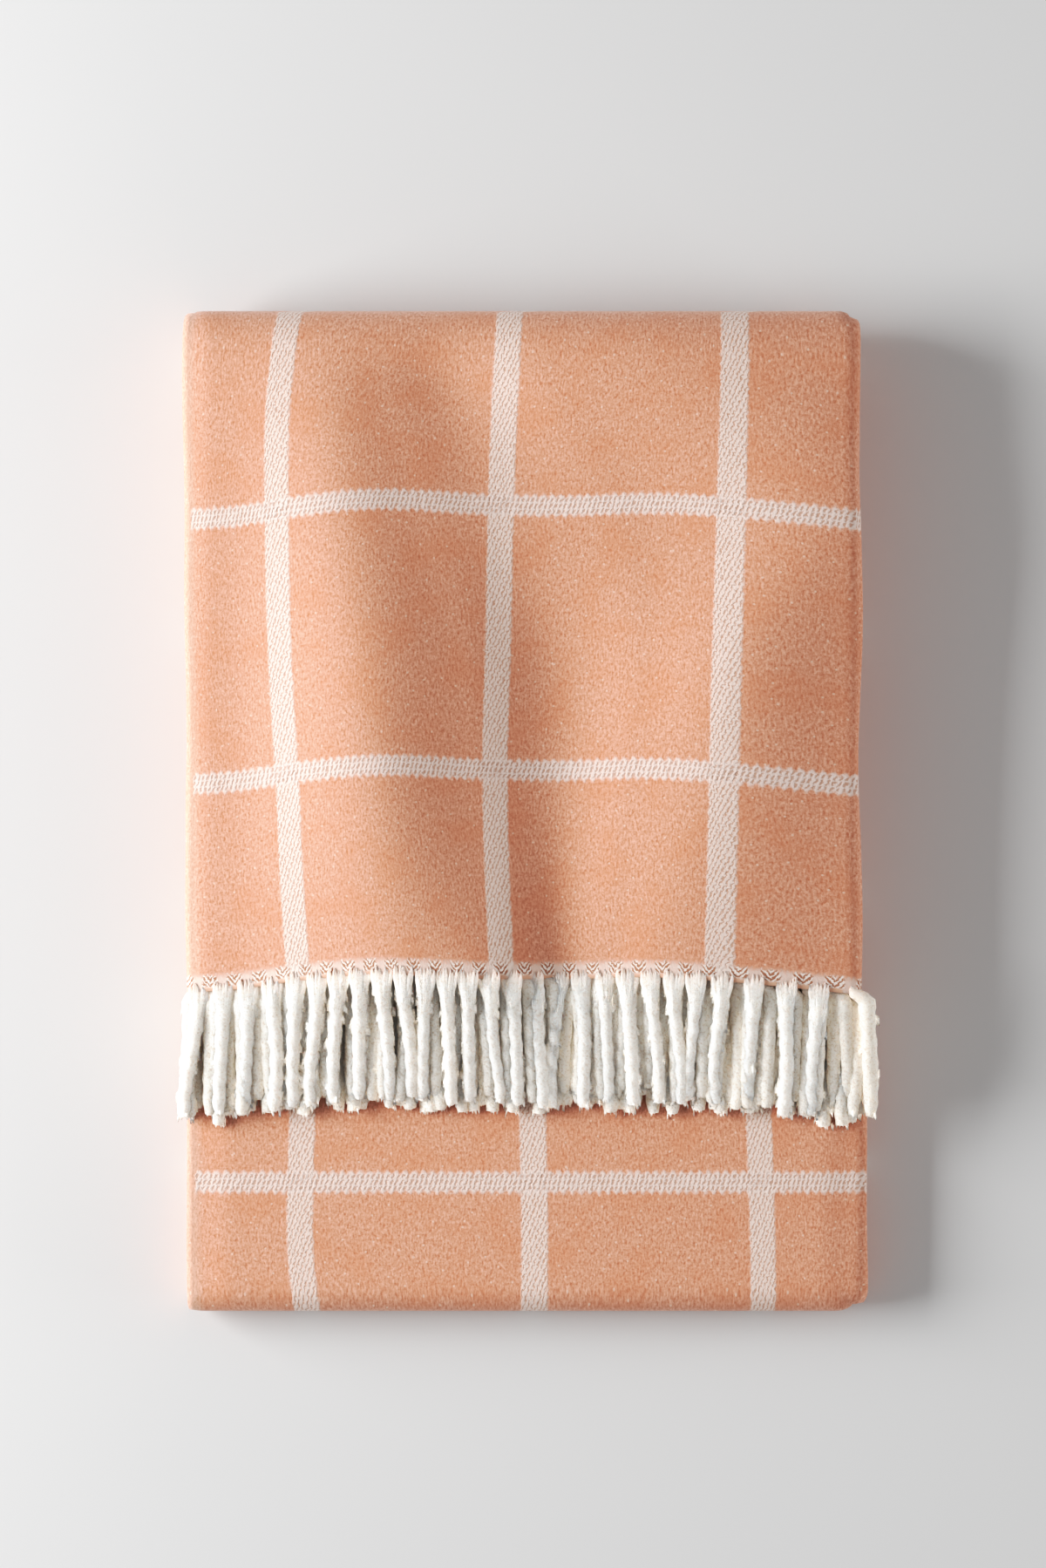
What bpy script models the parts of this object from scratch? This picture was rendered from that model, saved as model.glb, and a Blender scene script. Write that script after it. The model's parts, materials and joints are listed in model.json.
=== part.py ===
"""A throw blanket, folded for a shelf, with its fringed end laid back over the front.

The cloth is folded in four across its width, which makes a strip four plies thick. The strip is
folded once along its length, and then both fringed ends are folded back together over the front.

Frame: metres, +Z up, X across the folded throw, +Y towards the top fold. The origin is on the
surface that the throw lies on, under the middle of its outline.
"""
import math

import bmesh
import bpy
from mathutils import Vector

# Driving dimensions, in metres.
FOLDED_WIDTH = 0.325        # across the folded throw: a quarter of the cloth's width
FOLDED_LENGTH = 0.488       # bottom fold to top fold
FLAP_LENGTH = 0.324         # top fold to the flap's edge
PLY = 0.00325               # one ply of brushed cloth, as it lies
FOLD_GAP = 0.001            # room between two faces of the cloth that lie on each other
CLEARANCE = 0.0003          # between two solids
FOLD_EDGE_RADIUS = 0.005    # rounding of the strip's folded side edge, at +X
SELVEDGE_RADIUS = 0.0015    # rounding of the strip's selvedge side, at -X
HEADER_DEPTH = 0.006        # the hemstitched edge of a ply, where its tassels start
TASSEL_DIAMETER = 0.0054
TASSEL_LENGTH = 0.067
TASSEL_TAPER = 0.012        # from the flat root in the hem to the full round tassel

# Counts.
PLIES_PER_STRIP = 4
STRIPS_IN_FLAP = 2
BEND_STEPS_PER_QUARTER = 6
EDGE_SEGMENTS = 3

# What follows from them.
STRIP = PLY * PLIES_PER_STRIP
PLY_SOLID = (STRIP - FOLD_GAP) / PLIES_PER_STRIP
TOP_Y = FOLDED_LENGTH / 2
BOTTOM_Y = -FOLDED_LENGTH / 2
BOTTOM_BEND = Vector((0, BOTTOM_Y + STRIP - FOLD_GAP / 2, STRIP - FOLD_GAP / 2))
TOP_BEND = Vector((0, TOP_Y - 2 * STRIP + FOLD_GAP / 2, 2 * STRIP - FOLD_GAP / 2))
FLAP_BEND = TOP_BEND + Vector((0, 0, CLEARANCE))
STACK_TOP = TOP_BEND.z - FOLD_GAP / 2
FLAP_TOP = FLAP_BEND.z + 2 * STRIP - FOLD_GAP / 2
FLAP_AXIS = Vector((0, TOP_Y, TOP_BEND.z + CLEARANCE / 2))
HEM_Y = TOP_Y - FLAP_LENGTH
TASSELS_PER_ROW = int(FOLDED_WIDTH / (2 * (TASSEL_DIAMETER + CLEARANCE)))
TASSEL_PITCH = FOLDED_WIDTH / TASSELS_PER_ROW
TASSEL_TIP_Y = HEM_Y - TASSEL_LENGTH
ROWS = PLIES_PER_STRIP * STRIPS_IN_FLAP
ROW_RISE = (TASSEL_DIAMETER + CLEARANCE) / 2
FIRST_ROW_Z = STACK_TOP + CLEARANCE + TASSEL_DIAMETER / 2
FRINGE_TOP = FIRST_ROW_Z + (ROWS - 1) * ROW_RISE + TASSEL_DIAMETER / 2
FRINGE_AXIS = Vector((0, HEM_Y, max(FLAP_TOP, FRINGE_TOP) + CLEARANCE / 2))

PEACH_WOOL = (0.73, 0.36, 0.20)
WHITE_WOOL = (0.80, 0.78, 0.73)


def clear_scene():
    for old in list(bpy.data.objects):
        bpy.data.objects.remove(old, do_unlink=True)


def wool(name, color):
    material = bpy.data.materials.new(name)
    material.use_nodes = True
    shader = material.node_tree.nodes["Principled BSDF"]
    shader.inputs["Base Color"].default_value = (*color, 1.0)
    shader.inputs["Roughness"].default_value = 0.95
    shader.inputs["Metallic"].default_value = 0.0
    return material


def joint_axis(name, place, collection, parent=None):
    """An empty on a joint's axis, which the pieces that turn about it hang from."""
    empty = bpy.data.objects.new(name, None)
    collection.objects.link(empty)
    empty.empty_display_size = 0.02
    empty.parent = parent
    empty.location = place - (parent.matrix_world.translation if parent else Vector())
    bpy.context.view_layer.update()
    return empty


def place_in(collection, name, data, material, axis=None):
    """Adds an object whose data is in world coordinates, with its origin on its joint's axis."""
    obj = bpy.data.objects.new(name, data)
    data.materials.append(material)
    collection.objects.link(obj)
    if axis is not None:
        move_points(data, -axis.matrix_world.translation)
        obj.parent = axis
    return obj


def move_points(data, offset):
    if isinstance(data, bpy.types.Curve):
        for spline in data.splines:
            for point in spline.points:
                point.co = (*(Vector(point.co[:3]) + offset), 1.0)
    else:
        for vertex in data.vertices:
            vertex.co += offset


def mesh_from(bm, name):
    walls = [face for face in bm.faces if all(len(edge.link_faces) > 2 for edge in face.edges)]
    bmesh.ops.delete(bm, geom=walls, context="FACES_ONLY")
    bmesh.ops.recalc_face_normals(bm, faces=bm.faces)
    mesh = bpy.data.meshes.new(name)
    bm.to_mesh(mesh)
    bm.free()
    return mesh


# ------------------------------------------------------------------ the folded cloth

def strip_section(bend, inner_radius):
    """One strip cut across, on the level plane through a bend's centre, as a single face."""
    bm = bmesh.new()
    bmesh.ops.create_grid(bm, x_segments=1, y_segments=1, size=0.5)
    depth = STRIP - FOLD_GAP
    bmesh.ops.scale(bm, vec=(FOLDED_WIDTH, depth, 1), verts=bm.verts)
    middle = bend + Vector((0, inner_radius + depth / 2, 0))
    bmesh.ops.translate(bm, vec=middle, verts=bm.verts)
    for side, radius in ((1, FOLD_EDGE_RADIUS), (-1, SELVEDGE_RADIUS)):
        corners = [v for v in bm.verts if v.co.x * side > FOLDED_WIDTH / 2 - CLEARANCE]
        bmesh.ops.bevel(bm, geom=corners, offset=min(radius, depth / 2.2), segments=EDGE_SEGMENTS,
                        affect="VERTICES", profile=0.5)
    return bm, list(bm.faces)


def lay_straight(bm, faces, distance):
    """Runs the strip on along Y, and returns its new end."""
    grown = bmesh.ops.extrude_face_region(bm, geom=faces)["geom"]
    bmesh.ops.translate(bm, vec=(0, distance, 0),
                        verts=[v for v in grown if isinstance(v, bmesh.types.BMVert)])
    return [f for f in grown if isinstance(f, bmesh.types.BMFace)]


def bend_round(bm, faces, centre, quarters):
    """Bends the strip round a fold's centre, one quarter turn for each of quarters."""
    steps = BEND_STEPS_PER_QUARTER * abs(quarters)
    turned = bmesh.ops.spin(bm, geom=faces, cent=centre, axis=(1, 0, 0), steps=steps,
                            angle=quarters * math.pi / 2)["geom_last"]
    return [f for f in turned if isinstance(f, bmesh.types.BMFace)]


def stack_cloth():
    """Both strips from the top fold down: the outer one, the bottom fold, and the inner one."""
    bm, end = strip_section(TOP_BEND, STRIP + FOLD_GAP / 2)
    end = bend_round(bm, end, TOP_BEND, -1)
    end = lay_straight(bm, end, BOTTOM_BEND.y - TOP_BEND.y)
    end = bend_round(bm, end, BOTTOM_BEND, -2)
    end = lay_straight(bm, end, TOP_BEND.y - BOTTOM_BEND.y)
    bend_round(bm, end, TOP_BEND, 1)
    return mesh_from(bm, "stack_cloth")


def flap_strip(name, inner_radius):
    """One strip of the flap, from the top fold to where its plies' hemstitched edges start."""
    bm, end = strip_section(FLAP_BEND, inner_radius)
    end = bend_round(bm, end, FLAP_BEND, 1)
    lay_straight(bm, end, HEM_Y + HEADER_DEPTH + CLEARANCE - FLAP_BEND.y)
    return mesh_from(bm, name)


# ------------------------------------------------------------------ the fringe

def ply_middle(row):
    """Height of the middle of a ply in the flap; row 0 is the lowest."""
    strip, ply = divmod(row, PLIES_PER_STRIP)
    return FLAP_BEND.z + FOLD_GAP / 2 + strip * STRIP + (ply + 0.5) * PLY_SOLID


def tassel_middle(row):
    """Height of a row's tassels where they are full and round, piled on the stack."""
    return FIRST_ROW_Z + row * ROW_RISE


def tassel_x(row, index):
    """Rows are set over by half a pitch in turn, so that their tassels lie between each other."""
    share = 0.25 if row % 2 == 0 else 0.75
    return -FOLDED_WIDTH / 2 + (index + share) * TASSEL_PITCH


def header_front(row, with_tassels):
    """The face that a ply's edge turns to the front, with a pane for the root of each tassel."""
    panes = 2 * TASSELS_PER_ROW + 1 if with_tassels else 1
    bm = bmesh.new()
    bmesh.ops.create_grid(bm, x_segments=panes, y_segments=1, size=0.5)
    columns = sorted({round(v.co.x, 6) for v in bm.verts})
    for vertex in bm.verts:
        column = columns.index(round(vertex.co.x, 6))
        upper = vertex.co.y > 0
        if column == 0:
            x = -FOLDED_WIDTH / 2
        elif column == len(columns) - 1:
            x = FOLDED_WIDTH / 2
        else:
            side = -1 if column % 2 == 1 else 1
            x = tassel_x(row, (column - 1) // 2) + side * TASSEL_DIAMETER / 2
        z = ply_middle(row) + (1 if upper else -1) * (PLY_SOLID - CLEARANCE) / 2
        vertex.co = (x, HEM_Y, z)
    return bm


def fringe_row(row):
    """A ply's hemstitched edge with the tassels that are twisted from its warp."""
    with_tassels = row < ROWS - 1
    bm = header_front(row, with_tassels)
    front = list(bm.faces)
    grown = bmesh.ops.extrude_face_region(bm, geom=front)["geom"]
    bmesh.ops.translate(bm, vec=(0, HEADER_DEPTH, 0),
                        verts=[v for v in grown if isinstance(v, bmesh.types.BMVert)])
    if with_tassels:
        panes = sorted((f for f in bm.faces if f.calc_center_median().y < HEM_Y + CLEARANCE),
                       key=lambda f: f.calc_center_median().x)
        roots = panes[1::2]
        for tip_y in (HEM_Y - TASSEL_TAPER, TASSEL_TIP_Y):
            roots = bmesh.ops.extrude_discrete_faces(bm, faces=roots)["faces"]
            for root in roots:
                middle = root.calc_center_median()
                for vertex in root.verts:
                    side = 1 if vertex.co.z > middle.z else -1
                    vertex.co.y = tip_y
                    vertex.co.z = tassel_middle(row) + side * TASSEL_DIAMETER / 2
        bmesh.ops.dissolve_limit(bm, angle_limit=math.radians(0.5), verts=bm.verts, edges=bm.edges)
    return mesh_from(bm, f"fringe_row_{row + 1}")


def front_tassel(index):
    """One tassel of the top row: flat at its root, full along its length, blunt at its tip."""
    row = ROWS - 1
    root_radius = (PLY_SOLID - CLEARANCE) / TASSEL_DIAMETER
    root_y = HEM_Y - 2 * CLEARANCE
    taper = TASSEL_TAPER / 3
    stations = (
        (root_y, ply_middle(row), root_radius),
        (root_y - taper, ply_middle(row), root_radius),
        (root_y - 3 * taper, tassel_middle(row), 1.0),
        (TASSEL_TIP_Y + 2 * TASSEL_DIAMETER, tassel_middle(row), 1.0),
        (TASSEL_TIP_Y, tassel_middle(row), 0.7),
    )
    curve = bpy.data.curves.new(f"tassel_{index + 1:02d}", "CURVE")
    curve.dimensions = "3D"
    curve.bevel_depth = TASSEL_DIAMETER / 2
    curve.bevel_resolution = 2
    curve.use_fill_caps = True
    spline = curve.splines.new("POLY")
    spline.points.add(len(stations) - 1)
    for point, (y, z, radius) in zip(spline.points, stations):
        point.co = (tassel_x(row, index), y, z, 1.0)
        point.radius = radius
    return curve


def build():
    clear_scene()
    throw = bpy.data.collections.new("folded_throw")
    bpy.context.scene.collection.children.link(throw)
    cloth = wool("brushed_peach_wool", PEACH_WOOL)
    yarn = wool("twisted_white_yarn", WHITE_WOOL)
    flap_axis = joint_axis("flap_axis", FLAP_AXIS, throw)
    fringe_axis = joint_axis("fringe_axis", FRINGE_AXIS, throw, flap_axis)

    place_in(throw, "stack_cloth", stack_cloth(), cloth)
    under = flap_strip("flap_under_cloth", FOLD_GAP / 2)
    place_in(throw, "flap_under_cloth", under, cloth, flap_axis)
    top = flap_strip("flap_top_cloth", STRIP + FOLD_GAP / 2)
    place_in(throw, "flap_top_cloth", top, cloth, flap_axis)
    for row in range(ROWS - 1):
        place_in(throw, f"fringe_row_{row + 1}", fringe_row(row), yarn, flap_axis)
    place_in(throw, "top_hem_edge", fringe_row(ROWS - 1), yarn, flap_axis)
    for index in range(TASSELS_PER_ROW):
        tassel = front_tassel(index)
        place_in(throw, tassel.name, tassel, yarn, fringe_axis)


build()
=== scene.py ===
"""Looks of a folded throw blanket: brushed wool cloth with a windowpane check and twisted fringes.

The cloth is one continuous sheet, folded by formula where the CAD part holds its folded solids.
Lengths are in metres unless a name or a material says millimetres.
"""

import json
import math
import random

import bmesh
import bpy
import numpy as np
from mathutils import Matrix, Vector, noise


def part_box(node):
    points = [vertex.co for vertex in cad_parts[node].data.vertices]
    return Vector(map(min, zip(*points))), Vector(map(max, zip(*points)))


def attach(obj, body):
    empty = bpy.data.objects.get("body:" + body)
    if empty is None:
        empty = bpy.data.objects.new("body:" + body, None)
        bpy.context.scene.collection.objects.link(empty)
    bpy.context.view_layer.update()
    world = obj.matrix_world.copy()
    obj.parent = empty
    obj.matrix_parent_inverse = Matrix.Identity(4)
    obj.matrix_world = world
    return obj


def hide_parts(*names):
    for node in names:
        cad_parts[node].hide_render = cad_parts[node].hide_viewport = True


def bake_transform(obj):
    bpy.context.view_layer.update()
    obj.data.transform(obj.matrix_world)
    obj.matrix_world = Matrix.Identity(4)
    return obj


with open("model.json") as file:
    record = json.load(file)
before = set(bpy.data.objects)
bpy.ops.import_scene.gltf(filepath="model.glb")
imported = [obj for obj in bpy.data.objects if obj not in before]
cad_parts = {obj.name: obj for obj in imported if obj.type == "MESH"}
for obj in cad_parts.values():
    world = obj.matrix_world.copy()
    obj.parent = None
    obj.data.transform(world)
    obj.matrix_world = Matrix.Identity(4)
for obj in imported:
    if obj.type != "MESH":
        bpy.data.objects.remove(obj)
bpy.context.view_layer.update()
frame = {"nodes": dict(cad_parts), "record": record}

MM = 0.001

# ------------------------------------------------------------------ sizes from the frame

STACK_LOW, STACK_HIGH = (Vector(corner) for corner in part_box("stack_cloth"))
HEADER_LOW, HEADER_HIGH = (Vector(corner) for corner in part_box("top_hem_edge"))
TASSEL_LOW, TASSEL_HIGH = (Vector(corner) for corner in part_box("tassel_01"))
JOINTS = {joint["name"]: joint for joint in frame["record"]["behaviour"]["joints"]}
CREASE = Vector(JOINTS["flap_fold"]["pos_m"])

WIDTH = STACK_HIGH.x - STACK_LOW.x
TOP_Y = STACK_HIGH.y
BOTTOM_Y = STACK_LOW.y
HEM_Y = HEADER_LOW.y
TASSEL_LENGTH = HEADER_LOW.y - TASSEL_LOW.y
STRIP = CREASE.z / 2                    # four plies of the cloth folded in four
PLY = STRIP / 4
FRONT_TASSELS = sum(1 for node in frame["nodes"] if node.startswith("tassel_"))
TASSEL_PITCH = WIDTH / FRONT_TASSELS

# ------------------------------------------------------------------ the cloth's own sizes

CLOTH_WIDTH = 4 * WIDTH                 # selvedge to selvedge
CLOTH_THICKNESS = 2.6 * MM
UNDER_HEM_STEP = 5 * MM                 # the lower end's hem lies a little past the upper end's
FLAP_TAKE_UP = 0.022                    # cloth that the flap's waves use up
STRIPE_ACROSS = CLOTH_WIDTH / 12        # between the check's lengthwise stripes
STRIPE_ALONG = 130.6 * MM               # between its crosswise stripes
FIRST_CROSS_STRIPE = 102.7 * MM         # hem to the first crosswise stripe


def linear(hex_color):
    """sRGB hex to the linear colour that a shader takes."""
    parts = [int(hex_color[i:i + 2], 16) / 255 for i in (1, 3, 5)]
    return tuple(c / 12.92 if c <= 0.04045 else ((c + 0.055) / 1.055) ** 2.4 for c in parts) + (1.0,)


def add(tree, kind, settings=None, inputs=None):
    """Adds a node: settings are its properties, and inputs its values, or sockets to link from."""
    node = tree.nodes.new(kind)
    for key, value in (settings or {}).items():
        setattr(node, key, value)
    for key, value in (inputs or {}).items():
        if isinstance(value, bpy.types.NodeSocket):
            tree.links.new(value, node.inputs[key])
        else:
            node.inputs[key].default_value = value
    return node


def smooth(t):
    t = np.clip(t, 0.0, 1.0)
    return t * t * (3 - 2 * t)


def through(points, at):
    """A smooth line through a few given points."""
    xs, ys = (np.array(column, float) for column in zip(*points))
    at = np.clip(at, xs[0], xs[-1])
    slopes = np.gradient(ys, xs)
    i = np.clip(np.searchsorted(xs, at, side="right") - 1, 0, len(xs) - 2)
    width = xs[i + 1] - xs[i]
    t = (at - xs[i]) / width
    return ((2 * t ** 3 - 3 * t ** 2 + 1) * ys[i] + (t ** 3 - 2 * t ** 2 + t) * width * slopes[i]
            + (3 * t ** 2 - 2 * t ** 3) * ys[i + 1] + (t ** 3 - t ** 2) * width * slopes[i + 1])


# ------------------------------------------------------------------ how the cloth is folded

TOP_BEND = Vector((0, TOP_Y - 2 * STRIP, CREASE.z))
BOTTOM_BEND = Vector((0, BOTTOM_Y + STRIP, STRIP))


def strip_stations():
    """Down the folded strip, from the upper end's hem to the lower end's: for each station its
    length along the cloth, the middle of the strip there, and which way the outer face looks."""
    rows = []
    length = 0.0

    def run(start_y, end_y, middle_z, up, steps, first=0):
        nonlocal length
        for i in range(first, steps + 1):
            y = start_y + (end_y - start_y) * i / steps
            rows.append((length + abs(y - start_y), y, middle_z, 0.0, up))
        length += abs(end_y - start_y)

    def bend(centre, radius, start, end, outward, steps):
        nonlocal length
        for i in range(1, steps):
            angle = math.radians(start + (end - start) * i / steps)
            c, s = math.cos(angle), math.sin(angle)
            rows.append((length + radius * math.radians(abs(end - start)) * i / steps,
                         centre.y + radius * c, centre.z + radius * s, outward * c, outward * s))
        length += radius * math.radians(abs(end - start))

    hem_zone = 8 * MM
    seen = 4.4 * MM                     # between stations where the cloth shows
    hidden = 15 * MM                    # and where it doesn't
    fringe_end = HEM_Y - TASSEL_LENGTH
    run(HEM_Y, HEM_Y + hem_zone, 3.5 * STRIP, 1, 4)
    run(HEM_Y + hem_zone, TOP_BEND.y, 3.5 * STRIP, 1, round((TOP_BEND.y - HEM_Y) / seen), 1)
    bend(TOP_BEND, 1.5 * STRIP, 90, -90, 1, 15)
    run(TOP_BEND.y, BOTTOM_BEND.y, 0.5 * STRIP, -1, round((TOP_BEND.y - BOTTOM_BEND.y) / hidden))
    bend(BOTTOM_BEND, 0.5 * STRIP, -90, -270, 1, 12)
    run(BOTTOM_BEND.y, fringe_end + hidden, 1.5 * STRIP, 1,
        round((fringe_end + hidden - BOTTOM_BEND.y) / seen))
    run(fringe_end + hidden, TOP_BEND.y, 1.5 * STRIP, 1,
        round((TOP_BEND.y - fringe_end) / hidden), 1)
    bend(TOP_BEND, 0.5 * STRIP, -90, 90, -1, 9)
    run(TOP_BEND.y, HEM_Y + hem_zone, 2.5 * STRIP, -1, round((TOP_BEND.y - HEM_Y) / hidden))
    run(HEM_Y + hem_zone, HEM_Y - UNDER_HEM_STEP, 2.5 * STRIP, -1, 4, 1)
    return np.array(rows), length


def width_stations():
    """Across the cloth, from selvedge to selvedge: for each station its length across the cloth,
    where it lies across the strip, its depth under the strip's outer face, and its ply (0 to 3)."""
    half = WIDTH / 2
    round_edge = 1.5 * PLY + CLOTH_THICKNESS / 2
    left_edge = 0.5 * PLY + CLOTH_THICKNESS / 2
    right_x = half - round_edge
    left_x = -half + left_edge
    rows = []
    length = 0.0

    def run(start_x, end_x, depth, ply, steps, first=0):
        nonlocal length
        for i in range(first, steps + 1):
            x = start_x + (end_x - start_x) * i / steps
            rows.append((length + abs(x - start_x), x, depth * PLY, ply))
        length += abs(end_x - start_x)

    def loop(x, side, middle, radius, start, end, plies, steps):
        nonlocal length
        for i in range(1, steps):
            angle = math.radians(start + (end - start) * i / steps)
            ply = plies[0] + (plies[1] - plies[0]) * i / steps
            rows.append((length + radius * PLY * math.radians(abs(end - start)) * i / steps,
                         x + side * radius * PLY * math.cos(angle),
                         (middle + radius * math.sin(angle)) * PLY, ply))
        length += radius * PLY * math.radians(abs(end - start))

    across = FRONT_TASSELS
    selvedge_inset = 3 * MM
    run(-half + selvedge_inset, right_x, 0.5, 0, 4 * across)
    loop(right_x, 1, 2, 1.5, -90, 90, (0, 3), 8)
    run(right_x, left_x, 3.5, 3, across)
    loop(left_x, -1, 3, 0.5, 90, -90, (3, 2), 5)
    run(left_x, right_x, 2.5, 2, across)
    loop(right_x, 1, 2, 0.5, 90, -90, (2, 1), 5)
    run(right_x, -half + selvedge_inset, 1.5, 1, across)
    return np.array(rows), length


# Where the first, second and third lengthwise stripes lie on the flap, in mm: the way up
# the flap from its hem, and the place across.
FLAP_STRIPES = (
    ((0, -109), (50, -112), (90, -113.5), (160, -118), (220, -119.5), (280, -118.5), (324, -113)),
    ((0, -12), (50, -14), (90, -14.8), (160, -13.4), (220, -12), (280, -9), (324, -6.5)),
    ((0, 92), (50, 93.8), (90, 95.3), (160, 96.8), (220, 98.8), (280, 100.8), (324, 102)),
)
# The same on the lower part that the flap leaves bare, from the bottom fold up.
STACK_STRIPES = (
    ((0, -104), (12, -107), (40, -109.5), (70, -109), (100, -108)),
    ((0, 3), (40, 3), (100, 2)),
    ((0, 113), (40, 112), (100, 110)),
)
# The flap's sides lie lower down the throw than its middle does: place across and shift, in mm.
FLAP_SAG = ((-163, -7), (-140, -5.5), (-110, -1.2), (-75, 2.2), (-20, 0.3), (20, -0.3), (60, 0.8),
            (100, -1.5), (130, -4.5), (163, -8))

# Soft waves left in the flap. For each place down from the top fold, every line of crests and
# valleys has its place across and its height, in mm.
WAVES_DOWN = (34, 99, 164, 240, 320)
FLAP_WAVES = (
    ((-165, -3), (-165, -7), (-165, -10), (-165, -11), (-165, -10)),
    ((-141, -0.5), (-141, -4), (-141, -7), (-140, -7.5), (-140, -6.5)),
    ((-93, 3.5), (-86, 7), (-76, 10), (-66, 10.9), (-50, 10.8)),
    ((-68, 0.5), (-50, 1), (-31, 0), (-23, 0), (-7, 4.5)),
    ((-40, -4), (-18, -5), (10, -10), (16, -10), (15, -7)),
    ((10, 0.5), (50, -4), (57, -2.5), (50, -2.5), (38, -4)),
    ((140, 2), (146, 5), (104, 7.5), (87, 5), (59, 0.5)),
    ((165, -1), (165, 3), (165, -1), (165, -3), (165, -4)),
)
LOWEST_PLY = 0.07                       # the share of the flap's depth that its waves don't reach
WAVE_FADE = 0.8                         # power by which they fade with depth
WAVES_START = 42                        # the waves grow over this way down from the top fold, in mm
SAG_START = 50 * MM                     # and so does the sag over this one
SAG_PLY = 0.2                           # share of the flap's depth over which the sag sets in
RIM_DROP = 1.3 * MM                     # how far the front ply's selvedge rolls down
RIM_REACH = 10 * MM
SIDE_DROP = 1.8 * MM                    # how far the bare lower part's sides sink
SIDE_REACH = 20 * MM

# The strips don't lie quite over each other, and each ply's edge drifts.
STRIP_DRIFT = 1.0 * MM
STRIP_DRIFT_PLACE = (9, 1.7, 0.3)       # noise: turns for each metre of cloth, and two seeds
PLY_DRIFT = 1.6 * MM
PLY_DRIFT_PLACE = (14, 1.7)             # noise: turns for each metre of cloth, and for each ply
RIGHT_SEED = 5.1
LEFT_SEED = 9.4
SIDE_START = 0.11                       # the sides drift from this far out
SIDE_WIDTH = 0.05
FLAP_SHARE = 0.998                      # the flap's width, as a share of its place in the frame
UNDER_SHARE = 0.013                     # the strips under it are narrower by this share
SPREAD_SHARE = 0.033                    # and spread by this one towards the bottom fold,
SPREAD_SHIFT = 1.3 * MM                 # more to the right
SPREAD_START = -0.05
SPREAD_LENGTH = 0.09
FLAP_OVERHANG = (4.3, 0.3)              # at the left, in mm: of the front ply, and of the others
STACK_OVERHANG = (3.2, 0.0)
BARE_MARGIN = 0.03                      # how far the bare part's stripes run in under the fringe
FRONT_PLY = 0.01                        # plies up to this number are the front one

# The folded throw's soft corners, seen from above: side across, side down, and radius.
CORNERS = ((-1, 1, 7 * MM), (1, 1, 9 * MM), (-1, -1, 5 * MM), (1, -1, 12 * MM))
SIDE_X = WIDTH / 2 + 2 * MM
FLAP_RIGHT_X = WIDTH / 2 - 1 * MM
SMALLEST_REACH = 1e-6


def flap_relief(x, y):
    """Height of the flap's waves, in metres, at places x across a line at y."""
    down = (TOP_Y - y) / MM
    knots = []
    for line in FLAP_WAVES:
        place = through([(d, p[0]) for d, p in zip(WAVES_DOWN, line)], down)
        height = through([(d, p[1]) for d, p in zip(WAVES_DOWN, line)], down)
        knots.append((float(place), float(height)))
    return through(knots, x / MM) * MM * float(smooth(down / WAVES_START))


def drift_stripes(flat_u, down, across, u_scale):
    """The check's lengthwise stripes drift across the front ply, as the folding pulled it."""
    front = across[:, 3] == 0
    front_x = across[front, 1]
    front_u = across[front, 0] * u_scale
    stripes_u = STRIPE_ACROSS * (np.arange(3) + 0.5)
    knots_u = np.concatenate(([front_u[0]], stripes_u, [front_u[-1]]))
    for i, (length, y, z, _, _) in enumerate(down):
        if length < TOP_Y - HEM_Y:
            stripes_x = [float(through(line, length / MM)) * MM for line in FLAP_STRIPES]
        elif z > STRIP and y < HEM_Y - TASSEL_LENGTH + BARE_MARGIN:
            stripes_x = [float(through(line, (y - BOTTOM_Y) / MM)) * MM for line in STACK_STRIPES]
        else:
            continue
        flat_u[i, front] = np.interp(front_x, [front_x[0]] + stripes_x + [front_x[-1]], knots_u)


def ply_drift(down, across, seed):
    """Where each ply's edge lies at each station down the strip, from -1 to 1."""
    per_metre, per_ply = PLY_DRIFT_PLACE
    return np.array([[noise.noise(Vector((length * per_metre, float(ply) * per_ply, seed)))
                      for ply in across[:, 3]] for length in down[:, 0]])


def shift_strips(points, down, across):
    """Moves and widens each strip, and lets its plies' edges drift and stand out."""
    per_metre, *seeds = STRIP_DRIFT_PLACE
    for i, (length, y, z, _, _) in enumerate(down):
        under = 0.0 if z > CREASE.z else 1.0
        spread = under * float(smooth((SPREAD_START - y) / SPREAD_LENGTH))
        points[i, :, 0] += STRIP_DRIFT * noise.noise(Vector((length * per_metre, *seeds)))
        points[i, :, 0] *= FLAP_SHARE - UNDER_SHARE * under + SPREAD_SHARE * spread
        points[i, :, 0] += SPREAD_SHIFT * spread
    right = smooth((points[..., 0] - SIDE_START) / SIDE_WIDTH)
    left = smooth((-points[..., 0] - SIDE_START) / SIDE_WIDTH)
    points[..., 0] += PLY_DRIFT * (right * ply_drift(down, across, RIGHT_SEED)
                                   + left * ply_drift(down, across, LEFT_SEED))
    in_front = across[:, 3][None, :] < 0.5
    low = smooth((SPREAD_START - down[:, 1:2]) / SPREAD_LENGTH)
    overhang = np.where(points[..., 2] > CREASE.z, np.where(in_front, *FLAP_OVERHANG),
                        np.where(in_front, *STACK_OVERHANG) * low)
    points[..., 0] -= left * overhang * MM


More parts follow.
